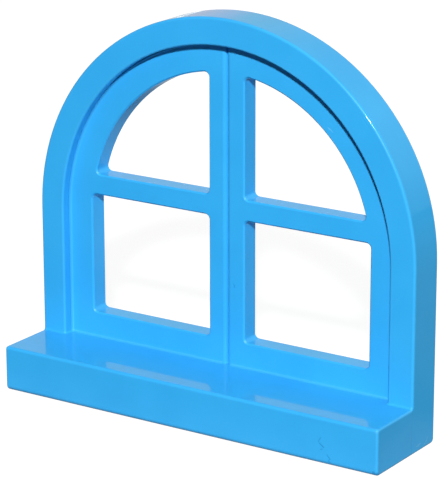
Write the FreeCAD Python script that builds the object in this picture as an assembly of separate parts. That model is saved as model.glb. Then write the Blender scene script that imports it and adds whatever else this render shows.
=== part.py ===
"""Toy window of glossy blue plastic: arched frame with a deep sill and two casements.

X runs across the window, Y from the sill's front to the back, Z up.
The origin is the middle of the underside. All sizes are in mm.
"""
import FreeCAD, Part
import os

V = FreeCAD.Vector

# Frame: a semicircular arch on straight jambs, moulded with a sill that runs forward
width = 63.8
depth = 15.9
sill_height = 6.8
spring_height = 26.35
arch_setback = 9.55
band_width = 4.03

# Casements: flat leaves set back between the jambs
leaf_recess = 1.75
leaf_thickness = 3.15
stile_width = 4.12
bottom_rail = 3.82
meeting_stile = 3.02
glazing_bar = 3.1
bar_rise = 23.64

# Seat of the casements: a tongue on each leaf in a groove round the opening, a lap where they meet
tongue_height = 0.5
tongue_width = 1.2
leaf_clearance = 0.05
meeting_gap = 0.04
meeting_lap = 0.8

# Coved border that carries each leaf's face up to the frame
cove_radius = 0.35
cove_land = 0.05

# Rounded edges
nosing_radius = 0.45
edge_radius = 0.36
lip_radius = 0.3
base_radius = 0.7
foot_radius = 0.35
light_corner = 0.75
light_edge = 0.22
meeting_edge = 0.66

# Open underside of the sill
wall = 1.6
rib_count = 3
rib_thickness = 1.2
rib_setback = 1.0

# Positions that follow from the sizes above
half_width = width / 2
opening_half = half_width - band_width
front = -depth / 2
back = depth / 2
arch_front = front + arch_setback
leaf_front = arch_front + leaf_recess
leaf_back = leaf_front + leaf_thickness
leaf_middle = (leaf_front + leaf_back) / 2
crown = spring_height + half_width
light_half = opening_half - stile_width
light_bottom = sill_height + bottom_rail
bar_bottom = sill_height + bar_rise - glazing_bar / 2
bar_top = bar_bottom + glazing_bar
cavity_roof = sill_height - wall
beyond = width


def prism(edges, y_from, y_to):
    """Solid between two Y planes over a closed outline drawn in the plane Y = 0."""
    solid = Part.Face(Part.Wire(edges)).extrude(V(0, y_to - y_from, 0))
    solid.translate(V(0, y_from, 0))
    return solid


def arched_prism(half, bottom, y_from, y_to):
    """Round-headed block: straight sides up to the spring line, semicircle above."""
    left_foot, right_foot = V(-half, 0, bottom), V(half, 0, bottom)
    left_spring, right_spring = V(-half, 0, spring_height), V(half, 0, spring_height)
    return prism([
        Part.makeLine(left_foot, right_foot),
        Part.makeLine(right_foot, right_spring),
        Part.Arc(right_spring, V(0, 0, spring_height + half), left_spring).toShape(),
        Part.makeLine(left_spring, left_foot),
    ], y_from, y_to)


def box(x_from, x_to, y_from, y_to, z_from, z_to):
    return Part.makeBox(x_to - x_from, y_to - y_from, z_to - z_from, V(x_from, y_from, z_from))


def pick(shape, test):
    """Edges of a shape whose bounding box passes a test."""
    return [edge for edge in shape.Edges if test(edge.BoundBox)]


def same(a, b):
    return abs(a - b) < 1e-4


def in_plane_y(bounds, y):
    return same(bounds.YMin, y) and same(bounds.YMax, y)


def in_plane_z(bounds, z):
    return same(bounds.ZMin, z) and same(bounds.ZMax, z)


def along_y(bounds):
    return same(bounds.XLength, 0) and same(bounds.ZLength, 0)


def frame_block():
    """Outer shape: an L seen from the side, cut to the arch seen from the front."""
    corners = [V(0, front, 0), V(0, back, 0), V(0, back, crown), V(0, arch_front, crown),
               V(0, arch_front, sill_height), V(0, front, sill_height), V(0, front, 0)]
    side = Part.Face(Part.makePolygon(corners))
    side.translate(V(-half_width, 0, 0))
    block = side.extrude(V(width, 0, 0))
    nosing = pick(block, lambda b: in_plane_y(b, front) and in_plane_z(b, sill_height))
    block = block.makeFillet(nosing_radius, nosing)
    base = pick(block, lambda b: in_plane_z(b, 0) and same(b.XLength, width))
    block = block.makeFillet(base_radius, base)
    return block.common(arched_prism(half_width, -beyond, front - beyond, back + beyond))


def frame_opening(block):
    """Cut the arched opening, then round its lip and blend the uprights into the sill."""
    opening = arched_prism(opening_half, sill_height, front - beyond, back + beyond)
    frame = block.cut(opening).removeSplitter()
    lip = pick(frame, lambda b: in_plane_y(b, arch_front) and b.ZMax > sill_height + foot_radius
               and max(-b.XMin, b.XMax) < opening_half + lip_radius / 2)
    frame = frame.makeFillet(lip_radius, lip)
    foot = pick(frame, lambda b: in_plane_z(b, sill_height) and b.YMin > arch_front - foot_radius
                and b.XLength < opening_half)
    return frame.makeFillet(foot_radius, foot)


def round_outside(frame):
    """Round every edge where the ends and the arch's back and front turn the corner."""
    ends = pick(frame, lambda b: same(b.XLength, 0) and same(max(-b.XMin, b.XMax), half_width))
    head = pick(frame, lambda b: same(b.YLength, 0) and same(b.XLength, width)
                and same(b.ZMax, crown))
    return frame.makeFillet(edge_radius, ends + head)


def seat_groove():
    """Groove round the opening that takes the casements' tongues."""
    half_groove = tongue_width / 2 + leaf_clearance
    return arched_prism(opening_half + tongue_height, sill_height - tongue_height,
                        leaf_middle - half_groove, leaf_middle + half_groove)


def underside():
    """Hollow below the sill, with cross ribs left standing between its cells."""
    inner_half = half_width - wall
    hollow = box(-inner_half, inner_half, front + wall, back - wall, -beyond, cavity_roof)
    pitch = width / (rib_count + 1)
    for index in range(rib_count):
        middle = (index + 1) * pitch - half_width
        hollow = hollow.cut(box(middle - rib_thickness / 2, middle + rib_thickness / 2,
                                front, back, rib_setback, sill_height))
    return hollow


def arched_frame():
    frame = round_outside(frame_opening(frame_block()))
    return frame.cut(seat_groove()).cut(underside())


def leaf_panel():
    """Both leaves in one: a flat panel with a coved border and a tongue round its edge."""
    half = opening_half - leaf_clearance
    bottom = sill_height
    panel = arched_prism(half, bottom, leaf_front - cove_radius, leaf_back)
    panel = panel.makeFillet(cove_radius - leaf_clearance, pick(
        panel, lambda b: along_y(b) and same(b.ZMin, bottom)))
    tray_bottom = bottom + cove_land
    tray = arched_prism(half - cove_land, tray_bottom, leaf_front - beyond, leaf_front)
    tray = tray.makeFillet(cove_radius, pick(
        tray, lambda b: in_plane_y(b, leaf_front) or (along_y(b) and same(b.ZMin, tray_bottom))))
    tongue = arched_prism(half + tongue_height, sill_height - tongue_height,
                          leaf_middle - tongue_width / 2, leaf_middle + tongue_width / 2)
    return panel.cut(tray).fuse(tongue)


def lower_light():
    return box(meeting_stile, light_half, leaf_front - beyond, leaf_back + beyond,
               light_bottom, bar_bottom)


def upper_light():
    """Light under the arch: square at the glazing bar, round at the head."""
    head = arched_prism(light_half, light_bottom, leaf_front - beyond, leaf_back + beyond)
    return head.common(box(meeting_stile, beyond, -beyond, beyond, bar_top, crown))


def rounded_light(light):
    corners = pick(light, along_y)
    return light.makeFillet(light_corner, corners)


def meeting_round():
    """Material taken off a leaf's meeting edge to round it."""
    x = meeting_gap / 2
    strip = box(x - beyond, x + meeting_edge, leaf_front - beyond, leaf_front + meeting_edge, 0, crown)
    round_bar = Part.makeCylinder(meeting_edge, crown, V(x + meeting_edge, leaf_front + meeting_edge, 0))
    return strip.cut(round_bar)


def right_side(lap):
    """Space right of the meeting line. Behind mid-thickness its edge is shifted by the lap."""
    edge = meeting_gap / 2
    step = leaf_middle - edge if lap > 0 else leaf_middle + edge
    ahead = box(edge, beyond, -beyond, step, 0, crown)
    return ahead.fuse(box(edge + lap, beyond, step, beyond, 0, crown))


def casement(lap):
    """Leaf right of the meeting line: rebated behind for a lap above 0, reaching over below 0."""
    leaf = leaf_panel().common(right_side(lap))
    for light in (lower_light(), upper_light()):
        leaf = leaf.cut(rounded_light(light))
    leaf = leaf.removeSplitter()
    rims = pick(leaf, lambda b: (in_plane_y(b, leaf_front) or in_plane_y(b, leaf_back))
                and b.XMin > meeting_stile - 0.01 and b.XMax < light_half + 0.01
                and b.ZMin > light_bottom - 0.01)
    leaf = leaf.makeChamfer(light_edge, rims)
    return leaf.cut(meeting_round())


def write(shape, node):
    solids = shape.Solids
    if len(solids) != 1 or not solids[0].isValid():
        raise RuntimeError(node + " is not one sound solid")
    solids[0].exportStep(os.path.join("parts", node + ".step"))


os.makedirs("parts", exist_ok=True)
write(arched_frame(), "arched_frame")
write(casement(meeting_lap), "right_casement")
write(casement(-meeting_lap).mirror(V(0, 0, 0), V(1, 0, 0)), "left_casement")
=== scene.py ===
"""Looks for the toy window: glossy blue plastic with light wear, a painted highlight along its edges and
painted shade in its nicks, a pale floor, studio light and a camera.

Places and sizes are in metres, apart from those of marks on the plastic, which are in mm.
"""

import math

import bpy
from mathutils import Matrix, Vector


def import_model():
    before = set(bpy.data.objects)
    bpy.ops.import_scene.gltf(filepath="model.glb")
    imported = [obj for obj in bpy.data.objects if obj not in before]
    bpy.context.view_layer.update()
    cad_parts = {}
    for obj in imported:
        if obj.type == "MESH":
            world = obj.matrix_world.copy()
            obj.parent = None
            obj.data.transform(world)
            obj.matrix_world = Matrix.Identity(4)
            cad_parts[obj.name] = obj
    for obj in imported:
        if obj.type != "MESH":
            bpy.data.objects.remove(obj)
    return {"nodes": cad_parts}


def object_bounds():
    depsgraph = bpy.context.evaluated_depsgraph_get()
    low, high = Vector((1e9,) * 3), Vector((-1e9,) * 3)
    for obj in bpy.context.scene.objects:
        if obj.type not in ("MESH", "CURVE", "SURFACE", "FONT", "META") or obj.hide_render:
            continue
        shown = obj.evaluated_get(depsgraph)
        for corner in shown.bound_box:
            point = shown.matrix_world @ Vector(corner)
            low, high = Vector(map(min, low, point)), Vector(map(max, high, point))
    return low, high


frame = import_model()
cad_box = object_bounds()
scene = bpy.context.scene

# Half the window's width and depth, in metres
HALF_WIDTH = cad_box[1][0]
HALF_DEPTH = cad_box[1][1]

# Faces that carry marks, in mm in the window's frame, and how far inside a face its marks fade out
MM_PER_METRE = 1000.0
SILL_FRONT = -HALF_DEPTH * MM_PER_METRE
SILL_END = HALF_WIDTH * MM_PER_METRE
ARCH_FRONT = 1.6
LEAF_FRONT = 3.35
LEAF_BACK = 6.5
FACE_MARGIN = 0.1

# Plastic: two near shades, a paler one for scuffs and for the painted highlight on edges, a deeper one
# painted inside nicks as their shade, the gloss's tint face on
BLUE = (0.033, 0.406, 0.855, 1)
BLUE_PALE = (0.037, 0.428, 0.885, 1)
SCUFF_AND_HIGHLIGHT = (0.17, 0.56, 0.9, 1)
PAINTED_NICK_SHADE = (0.006, 0.24, 0.62, 1)
FACING_TINT = (0.52, 0.88, 1, 1)

# Gloss: the plastic's refractive index, and a faint, rougher haze over it
PLASTIC_IOR = 1.5
HAZE_WEIGHT = 0.38
HAZE_ROUGHNESS = 0.4

# Noises over the plastic: scale per mm, detail and, for smudges, roughness
CLOUD = (0.11, 3.0)
SMUDGE = (0.55, 4.0, 0.6)
GRAIN = (2.6, 2.0)
WOBBLE = (3.0, 1.0)
HAIR = (1.0, 1.0)
HAIR_PATCH = (0.16, 1.0)
NOISE_MIDDLE = (0.5, 0.5, 0.5)

# Levels of the noises over which each effect grows from none to full
SHADE_LEVELS = (0.3, 0.7)
SMUDGE_LEVELS = (0.35, 0.75)
WEAR_LEVELS = (0.5, 0.66)
HAIR_LEVELS = (0.7, 0.74)
HAIR_PATCH_LEVELS = (0.52, 0.66)

# Roughness: clean, smudged, and what marks add. Worn edges add a share of their wear
CLEAN_ROUGHNESS = 0.035
SMUDGED_ROUGHNESS = 0.075
HAIR_ROUGHNESS = 0.12
CUT_ROUGHNESS = 0.3
WORN_ROUGHNESS = 0.5

# How strongly marks change the colour; for nicks the change is painted shade
HAIR_TINT = 0.06
SCRATCH_TINT = 0.55
NICK_TINT = 0.7

# Relief in metres: waviness, grain, marks of use, mould marks. Then scratches and hairs as shares of a nick
WAVE_DEPTH = 0.000006
GRAIN_DEPTH = 0.0000004
CUT_DEPTH = 0.00002
MOULD_DEPTH = 0.00003
SCRATCH_SHARE = 0.5
HAIR_SHARE = 0.12

# Edges, which take wear and a painted highlight: length of the inward rays in metres, their number, and the
# free shares from flat to edge
EDGE_REACH = 0.0007
EDGE_RAYS = 6
EDGE_LEVELS = (0.85, 0.4)

# How strongly the edges are painted paler as a highlight, and how worn they are
FRAME_EDGE = (0.3, 0.25)
LEAF_EDGE = (0.1, 0.0)

# Marks of use, in mm: start, end, half width. Those just behind the sill's front are on its rounded edge
NICKS = (
    ((22.87, SILL_FRONT, 3.9), (22.55, SILL_FRONT, 3.4), 0.05),
    ((22.55, SILL_FRONT, 3.4), (22.65, SILL_FRONT, 2.95), 0.05),
    ((22.75, SILL_FRONT, 2.95), (23.35, SILL_FRONT, 2.5), 0.09),
    ((22.9, SILL_FRONT, 2.15), (23.15, SILL_FRONT, 2.3), 0.06),
    ((23.9, SILL_FRONT, 1.5), (24.42, SILL_FRONT, 1.05), 0.07),
    ((24.42, SILL_FRONT, 1.05), (24.12, SILL_FRONT, 0.62), 0.06),
    ((24.12, SILL_FRONT, 0.6), (24.5, SILL_FRONT + 0.05, 0.42), 0.07),
    ((1.23, LEAF_FRONT, 19.15), (1.42, LEAF_FRONT, 18.7), 0.07),
    ((2.6, SILL_FRONT + 0.05, 0.5), (2.75, SILL_FRONT + 0.1, 0.4), 0.1),
    # The last nick, at the foot of the sill's front right corner, paints the shade of that rounded corner as
    # a dark mark
    ((31.35, SILL_FRONT + 0.2, 0.45), (31.65, SILL_FRONT + 0.35, 0.4), 0.32),
)
SCRATCHES = (
    ((SILL_END, 2.8, 1.0), (SILL_END, 4.1, 1.12), 0.06),
    ((SILL_END, 3.1, 0.75), (SILL_END, 3.7, 1.0), 0.05),
    ((SILL_END, 5.1, 0.6), (SILL_END, 5.75, 0.95), 0.06),
    ((SILL_END, 5.75, 0.95), (SILL_END, 6.05, 1.5), 0.05),
    ((16.8, LEAF_FRONT, 44.5), (17.5, LEAF_FRONT, 44.0), 0.08),
)

# Where a mark begins and where it is full, in half widths from its line, and the span of its wobble, in mm
MARK_RIM = 1.5
MARK_CORE = 0.4
WOBBLE_REACH = 0.22

# Hair scratches: turns of the two sets in radians, and the stretch that draws the noise out into hairs
HAIR_TURNS = ((0.2, 0.5, 0.3), (0.6, 1.3, 1.1))
HAIR_STRETCH = (0.3, 5.0, 5.0)

# Ejector marks on the back, in mm: distance from the middle, height, radius. Then the fade of a ring's line
EJECTORS = ((29.85, 12.0, 1.2), (29.85, 25.0, 1.2), (21.1, 47.45, 1.2), (0.0, 56.2, 1.2),
            (25.8, 8.75, 1.0), (25.8, 30.4, 1.0), (1.55, 8.75, 0.9), (1.55, 30.4, 0.9))
RING_FADE = (0.09, 0.02)

# Mould line on the sill's ends, in mm: its fade to the sides, and the heights over which it begins
LINE_FADE = (0.1, 0.03)
LINE_TOP = (6.9, 6.4)

# Floor: a disc, white to the camera, with a grey in it that takes the shadow
FLOOR_RADIUS = 3.0
FLOOR_VERTICES = 96
FLOOR_WHITE = (1, 1, 1, 1)
FLOOR_GLOW = 0.9
SHADOW_GREY = (0.2, 0.2, 0.2, 1)

# Share of that white in the gloss: near the window, far behind on the left, and the places between
GLOSS_NEAR = 0.03
GLOSS_FAR = 0.7
GLOSS_LEFT = (0.03, -0.25)
GLOSS_BEHIND = (0.02, 0.1)

# Floor to bounced light: its colour in front, behind and at the window's foot, and the places between
FLOOR_FRONT = (0.045, 0.09, 0.09, 1)
FLOOR_BACK = (0.17, 0.2, 0.2, 1)
FLOOR_FOOT = (0.25, 0.23, 0.22, 1)
FRONT_TO_BACK = (0.0, 0.06)
FOOT_TO_AWAY = (0.001, 0.012)

# Wall behind: its brightness from level to straight up, and its tint
WALL_LEVELS = ((0.0, 0.32), (0.25, 0.64), (0.45, 0.7), (0.7, 0.36), (1.0, 0.12))
WALL_TINT = (0.84, 1.0, 0.82)

# Paler patch low on the left, and the spans of a direction's Z and X over which it comes in
PATCH = (0.72, 0.63, 0.64, 1)
PATCH_LOW = (0.3, 0.2)
PATCH_LEFT = (-0.4, -0.5)

# Dim front of the room, and the span of a direction's Y over which it gives way to the wall
ROOM_FRONT = (0.03, 0.03, 0.03, 1)
ROOM_BEHIND = (-0.2, 0.75)

# Lamps: the point lit, the direction to the lamp, its distance and radius in metres, its power in watts
MIDDLE = Vector((0, 0, 0.029))
KEY = (MIDDLE, Vector((0.445, -0.722, 0.53)), 1.2, 0.045, 19.0)
OVERHEAD = (MIDDLE, Vector((0, 0.15, 1)), 0.8, 0.3, 0.4)
BACK_FILL = (MIDDLE, Vector((-0.6, 1, 0.1)), 1.0, 0.15, 5.0)
BOUNCE_CARD = (Vector((0.003, 0.06, 0.03)), Vector((0, 0, -1)), 0.029, 0.028, 0.032)

# Camera: angles in degrees, its place, and the nearest distance it shows
AZIMUTH = 33.5164
ELEVATION = 16.6242
ROLL = -0.1114
CAMERA_PLACE = Vector((0.19261788, -0.28864346, 0.13006874))
NEAREST = 0.01

# Lens: focal length and height of the picture in pixels, sensor in mm
FOCAL_PIXELS = 2551.4933
PICTURE_PIXELS = 480
SENSOR = 36


def node(tree, kind, inputs=None, **settings):
    """Add a node. Each input is a constant or another node's output."""
    made = tree.nodes.new(kind)
    for name, value in settings.items():
        setattr(made, name, value)
    for key, value in (inputs or {}).items():
        if isinstance(value, bpy.types.NodeSocket):
            tree.links.new(value, made.inputs[key])
        else:
            made.inputs[key].default_value = value
    return made


def calc(tree, operation, *values, clamp=False):
    made = node(tree, "ShaderNodeMath", dict(enumerate(values)), operation=operation, use_clamp=clamp)
    return made.outputs[0]


def times(tree, first, second):
    return calc(tree, "MULTIPLY", first, second)


def larger(tree, first, second):
    return calc(tree, "MAXIMUM", first, second)


def size(tree, value):
    """A number without its sign."""
    return calc(tree, "ABSOLUTE", value)


def plus(tree, first, second):
    return calc(tree, "ADD", first, second)


def minus(tree, first, second):
    return calc(tree, "SUBTRACT", first, second)


def vector(tree, operation, *values):
    """Vector maths that gives a vector."""
    return node(tree, "ShaderNodeVectorMath", dict(enumerate(values)), operation=operation).outputs["Vector"]


def measure(tree, operation, *values):
    """Vector maths that gives a number."""
    return node(tree, "ShaderNodeVectorMath", dict(enumerate(values)), operation=operation).outputs["Value"]


def scaled(tree, value, factor):
    made = node(tree, "ShaderNodeVectorMath", {0: value, "Scale": factor}, operation="SCALE")
    return made.outputs["Vector"]


def coordinates(tree, kind):
    """The place or direction being shaded, as a vector."""
    return node(tree, "ShaderNodeTexCoord").outputs[kind]


def parts_of(tree, value):
    """X, Y and Z of a vector."""
    return node(tree, "ShaderNodeSeparateXYZ", {0: value}).outputs


def ramp(tree, value, start, end, low=0.0, high=1.0):
    """Smooth step from low at start to high at end."""
    inputs = {"Value": value, "From Min": start, "From Max": end, "To Min": low, "To Max": high}
    return node(tree, "ShaderNodeMapRange", inputs, interpolation_type="SMOOTHSTEP").outputs["Result"]


def beyond(tree, value, face):
    """1 on a face and past it, 0 from just inside it."""
    return ramp(tree, value, face - FACE_MARGIN, face - FACE_MARGIN / 2)


def blend(tree, factor, first, second):
    """Mix two colours. Names repeat among this node's sockets, so the colour ones go by number."""
    made = node(tree, "ShaderNodeMix", {0: factor, 6: first, 7: second}, data_type="RGBA")
    return made.outputs[2]


def noise(tree, point, scale, detail, roughness=0.5, output="Fac"):
    inputs = {"Vector": point, "Scale": scale, "Detail": detail, "Roughness": roughness}
    return node(tree, "ShaderNodeTexNoise", inputs).outputs[output]


def bump(tree, height, depth, below=None):
    inputs = {"Height": height, "Distance": depth, "Strength": 1.0}
    if below is not None:
        inputs["Normal"] = below
    return node(tree, "ShaderNodeBump", inputs).outputs["Normal"]


def stroke_group():
    """Node group: distance from a point to a straight stroke."""
    group = bpy.data.node_groups.new("stroke", "ShaderNodeTree")
    for name in ("Point", "Start", "End"):
        group.interface.new_socket(name, in_out="INPUT", socket_type="NodeSocketVector")
    group.interface.new_socket("Distance", in_out="OUTPUT", socket_type="NodeSocketFloat")
    enter = node(group, "NodeGroupInput").outputs
    along = vector(group, "SUBTRACT", enter["End"], enter["Start"])
    offset = vector(group, "SUBTRACT", enter["Point"], enter["Start"])
    share = calc(group, "DIVIDE", measure(group, "DOT_PRODUCT", offset, along),
                 measure(group, "DOT_PRODUCT", along, along), clamp=True)
    gap = measure(group, "LENGTH", vector(group, "SUBTRACT", offset, scaled(group, along, share)))
    node(group, "NodeGroupOutput", {"Distance": gap})
    return group


def strokes(tree, group, point, marks):
    """1 on any of the marks, 0 away from them."""
    total = 0.0
    for start, end, half_width in marks:
        stroke = node(tree, "ShaderNodeGroup", {"Point": point, "Start": start, "End": end}, node_tree=group)
        mark = ramp(tree, stroke.outputs["Distance"], MARK_RIM * half_width, MARK_CORE * half_width)
        total = larger(tree, total, mark)
    return total


def unsteady(tree, point):
    """The point moved a little, so that straight strokes come out uneven."""
    wobble = vector(tree, "SUBTRACT", noise(tree, point, *WOBBLE, output="Color"), NOISE_MIDDLE)
    return vector(tree, "ADD", point, scaled(tree, wobble, WOBBLE_REACH))


def streaks(tree, point, turn):
    """Sparse hair scratches that run one way."""
    placed = node(tree, "ShaderNodeMapping", {"Vector": point, "Rotation": turn, "Scale": HAIR_STRETCH})
    fine = noise(tree, placed.outputs["Vector"], *HAIR)
    patch = noise(tree, point, *HAIR_PATCH)
    return times(tree, ramp(tree, fine, *HAIR_LEVELS), ramp(tree, patch, *HAIR_PATCH_LEVELS))


def ejector_rings(tree, point):
    """Witness rings of the ejector pins, on back faces only."""
    spot = parts_of(tree, point)
    flat = node(tree, "ShaderNodeCombineXYZ", {"X": size(tree, spot["X"]), "Y": 0.0, "Z": spot["Z"]})
    total = 0.0
    for x, z, radius in EJECTORS:
        from_middle = measure(tree, "DISTANCE", flat.outputs[0], (x, 0.0, z))
        ring = ramp(tree, size(tree, minus(tree, from_middle, radius)), *RING_FADE)
        total = larger(tree, total, ring)
    return times(tree, total, beyond(tree, spot["Y"], LEAF_BACK))


def witness_line(tree, point):
    """Faint mould line down each end of the sill, in line with the arch's front."""
    spot = parts_of(tree, point)
    line = ramp(tree, size(tree, minus(tree, spot["Y"], ARCH_FRONT)), *LINE_FADE)
    at_end = beyond(tree, size(tree, spot["X"]), SILL_END)
    return times(tree, line, times(tree, at_end, ramp(tree, spot["Z"], *LINE_TOP)))


def edges_for_wear_and_highlight(tree):
    """1 on sharp outer edges, where short inward rays soon meet another face, and 0 on flat faces."""
    inputs = {"Distance": EDGE_REACH}
    inward = node(tree, "ShaderNodeAmbientOcclusion", inputs, inside=True, samples=EDGE_RAYS)
    return ramp(tree, inward.outputs["AO"], *EDGE_LEVELS)


def wear_and_painted_light_masks(tree, group, point, smudge):
    """Where the plastic is marked, and its sharp edges, which take wear and a painted highlight: each mask
    is 1 where it applies and 0 away from it.
    """
    shaky = unsteady(tree, point)
    edge = edges_for_wear_and_highlight(tree)
    return {
        "nicks": strokes(tree, group, shaky, NICKS),
        "scratches": strokes(tree, group, shaky, SCRATCHES),
        "hairs": larger(tree, *(streaks(tree, point, turn) for turn in HAIR_TURNS)),
        "edge": edge,
        "worn": times(tree, edge, ramp(tree, smudge, *WEAR_LEVELS)),
    }


def plastic_colour(tree, cloud, wear_and_painted_light, edge_highlight, edge_wear):
    """Near-even blue, paler where it is rubbed or scratched and along its edges as a painted highlight,
    darker in nicks as painted shade.
    """
    shade = blend(tree, ramp(tree, cloud, *SHADE_LEVELS), BLUE, BLUE_PALE)
    # Painted highlight along every sharp edge, plus paler wear in patches on them
    highlight_and_scuffs = plus(tree, times(tree, wear_and_painted_light["edge"], edge_highlight), times(tree, wear_and_painted_light["worn"], edge_wear))
    highlight_and_scuffs = larger(tree, highlight_and_scuffs, times(tree, wear_and_painted_light["hairs"], HAIR_TINT))
    highlight_and_scuffs = larger(tree, highlight_and_scuffs, times(tree, wear_and_painted_light["scratches"], SCRATCH_TINT))
    shade = blend(tree, highlight_and_scuffs, shade, SCUFF_AND_HIGHLIGHT)
    # Painted shade: nicks are drawn in a deeper blue
    return blend(tree, times(tree, wear_and_painted_light["nicks"], NICK_TINT), shade, PAINTED_NICK_SHADE)


def plastic_roughness(tree, smudge, wear_and_painted_light, edge_wear):
    """Smudges, and what each mark adds."""
    rough = ramp(tree, smudge, *SMUDGE_LEVELS, CLEAN_ROUGHNESS, SMUDGED_ROUGHNESS)
    cuts = larger(tree, wear_and_painted_light["nicks"], wear_and_painted_light["scratches"])
    added = (
        (wear_and_painted_light["hairs"], HAIR_ROUGHNESS),
        (wear_and_painted_light["worn"], edge_wear * WORN_ROUGHNESS),
        (cuts, CUT_ROUGHNESS),
    )
    for mask, amount in added:
        rough = plus(tree, rough, times(tree, mask, amount))
    return rough


def plastic_relief(tree, point, cloud, wear_and_painted_light):
    """Moulded waviness and grain, with marks of use and mould marks cut in."""
    cut = larger(tree, wear_and_painted_light["nicks"], times(tree, wear_and_painted_light["scratches"], SCRATCH_SHARE))
    cut = larger(tree, cut, times(tree, wear_and_painted_light["hairs"], HAIR_SHARE))
    moulded = larger(tree, ejector_rings(tree, point), witness_line(tree, point))
    normal = bump(tree, cloud, WAVE_DEPTH)
    normal = bump(tree, noise(tree, point, *GRAIN), GRAIN_DEPTH, normal)
    normal = bump(tree, minus(tree, 1.0, cut), CUT_DEPTH, normal)
    return bump(tree, minus(tree, 1.0, moulded), MOULD_DEPTH, normal)


def plastic(name, group, edge_highlight, edge_wear):
    """Moulded glossy plastic with hair scratches, worn edges with a painted highlight along them, and a few
    nicks with painted shade in them.
    """
    material = bpy.data.materials.new(name)
    material.use_nodes = True
    tree = material.node_tree
    point = scaled(tree, coordinates(tree, "Object"), MM_PER_METRE)
    cloud = noise(tree, point, *CLOUD)
    smudge = noise(tree, point, *SMUDGE)
    wear_and_painted_light = wear_and_painted_light_masks(tree, group, point, smudge)
    shader = tree.nodes["Principled BSDF"].inputs
    tree.links.new(plastic_colour(tree, cloud, wear_and_painted_light, edge_highlight, edge_wear), shader["Base Color"])
    tree.links.new(plastic_roughness(tree, smudge, wear_and_painted_light, edge_wear), shader["Roughness"])
    tree.links.new(plastic_relief(tree, point, cloud, wear_and_painted_light), shader["Normal"])
    shader["IOR"].default_value = PLASTIC_IOR
    shader["Specular Tint"].default_value = FACING_TINT
    shader["Coat Weight"].default_value = HAZE_WEIGHT
    shader["Coat Roughness"].default_value = HAZE_ROUGHNESS
    shader["Coat IOR"].default_value = PLASTIC_IOR
    return material


def dress():
    """Put the plastic on the solids, with more wear and a stronger painted highlight on the frame's edges
    than on the leaves' edges.
    """
    group = stroke_group()
    outer = plastic("blue_plastic_frame", group, *FRAME_EDGE)
    inner = plastic("blue_plastic_leaf", group, *LEAF_EDGE)
    for name, piece in frame["nodes"].items():
        piece.data.materials.clear()
        piece.data.materials.append(outer if name == "arched_frame" else inner)


def white_share(tree, spot):
    """How much of the floor's white a ray sees: all of it from the camera, some of it in gloss."""
    path = node(tree, "ShaderNodeLightPath").outputs
    direct = larger(tree, path["Is Camera Ray"], path["Is Transmission Ray"])
    left = ramp(tree, spot["X"], *GLOSS_LEFT, GLOSS_NEAR, GLOSS_FAR)
    gloss = ramp(tree, spot["Y"], *GLOSS_BEHIND, GLOSS_NEAR, left)
    return larger(tree, direct, times(tree, path["Is Glossy Ray"], gloss))


def bounce_colour(tree, spot):
    """The floor's colour for bounced light: at the window's foot, in front of it and behind it."""
    past_width = minus(tree, size(tree, spot["X"]), HALF_WIDTH)
    past_depth = minus(tree, size(tree, spot["Y"]), HALF_DEPTH)
    away = blend(tree, ramp(tree, spot["Y"], *FRONT_TO_BACK), FLOOR_FRONT, FLOOR_BACK)
    return blend(tree, ramp(tree, larger(tree, past_width, past_depth), *FOOT_TO_AWAY), FLOOR_FOOT, away)


def floor():
    """Pale floor: white to the camera, darker to bounced light, with the window's shadow."""
    bpy.ops.mesh.primitive_circle_add(vertices=FLOOR_VERTICES, radius=FLOOR_RADIUS, fill_type="NGON")
    made = bpy.context.object
    made.name = "floor"
    material = bpy.data.materials.new("white_sweep")
    material.use_nodes = True
    tree = material.node_tree
    tree.nodes.clear()
    spot = parts_of(tree, coordinates(tree, "Object"))
    lit = node(tree, "ShaderNodeBsdfDiffuse", {"Color": bounce_colour(tree, spot)})
    glow = node(tree, "ShaderNodeEmission", {"Color": FLOOR_WHITE, "Strength": FLOOR_GLOW})
    shade = node(tree, "ShaderNodeBsdfDiffuse", {"Color": SHADOW_GREY})
    white = node(tree, "ShaderNodeAddShader", {0: glow.outputs[0], 1: shade.outputs[0]})
    sides = {"Fac": white_share(tree, spot), 1: lit.outputs[0], 2: white.outputs[0]}
    mix = node(tree, "ShaderNodeMixShader", sides)
    node(tree, "ShaderNodeOutputMaterial", {"Surface": mix.outputs[0]})
    made.data.materials.append(material)


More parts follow.
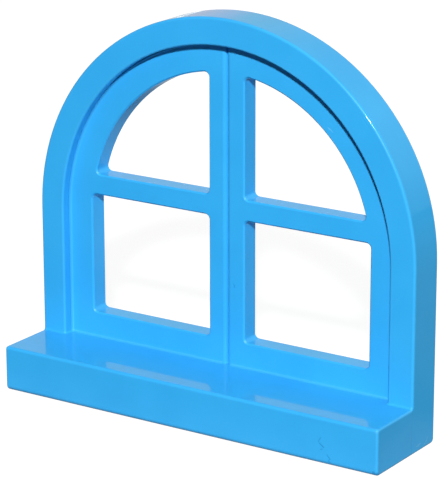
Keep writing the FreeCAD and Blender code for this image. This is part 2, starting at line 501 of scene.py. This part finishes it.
def world():
    """Dim in front, a pale wall behind that fades towards the ceiling, a paler patch low on the left."""
    made = bpy.data.worlds.new("studio")
    scene.world = made
    made.use_nodes = True
    tree = made.node_tree
    direction = parts_of(tree, coordinates(tree, "Generated"))
    wall = node(tree, "ShaderNodeValToRGB", {"Fac": direction["Z"]})
    stops = wall.color_ramp.elements
    # The ramp comes with its first and last stop, at 0 and 1
    for position, _ in WALL_LEVELS[1:-1]:
        stops.new(position)
    for stop, (_, level) in zip(stops, WALL_LEVELS):
        stop.color = (*(level * share for share in WALL_TINT), 1)
    low_left = times(tree, ramp(tree, direction["Z"], *PATCH_LOW), ramp(tree, direction["X"], *PATCH_LEFT))
    room = blend(tree, low_left, wall.outputs["Color"], PATCH)
    room = blend(tree, ramp(tree, direction["Y"], *ROOM_BEHIND), ROOM_FRONT, room)
    tree.links.new(room, tree.nodes["Background"].inputs["Color"])


def lamp(name, aim, towards, distance, radius, power):
    """Round lamp at a distance from the point it lights."""
    data = bpy.data.lights.new(name, "AREA")
    data.shape = "DISK"
    data.size = 2 * radius
    data.energy = power
    made = bpy.data.objects.new(name, data)
    scene.collection.objects.link(made)
    made.location = aim + towards.normalized() * distance
    made.rotation_euler = towards.to_track_quat("Z", "Y").to_euler()
    return made


def lamps():
    """Key from the right, soft overhead, low fill from behind on the left, card on the floor behind."""
    lamp("key", *KEY)
    lamp("overhead", *OVERHEAD)
    fill = lamp("back_fill", *BACK_FILL)
    fill.visible_glossy = False
    card = lamp("bounce_card", *BOUNCE_CARD)
    card.visible_camera = False
    card.visible_glossy = False


def camera():
    """Camera solved from the photo's edges."""
    azimuth, elevation, roll = (math.radians(angle) for angle in (AZIMUTH, ELEVATION, ROLL))
    back = Vector((math.sin(azimuth) * math.cos(elevation),
                   -math.cos(azimuth) * math.cos(elevation), math.sin(elevation)))
    right = Vector((math.cos(azimuth), math.sin(azimuth), 0))
    up = back.cross(right)
    turned_right = right * math.cos(roll) + up * math.sin(roll)
    turned_up = up * math.cos(roll) - right * math.sin(roll)
    data = bpy.data.cameras.new("camera")
    data.sensor_width = SENSOR
    data.lens = FOCAL_PIXELS * SENSOR / PICTURE_PIXELS
    data.clip_start = NEAREST
    made = bpy.data.objects.new("camera", data)
    scene.collection.objects.link(made)
    axes = Matrix((turned_right, turned_up, back)).transposed().to_4x4()
    made.matrix_world = Matrix.Translation(CAMERA_PLACE) @ axes
    scene.camera = made


dress()
floor()
world()
lamps()
camera()
scene.view_settings.view_transform = "Standard"
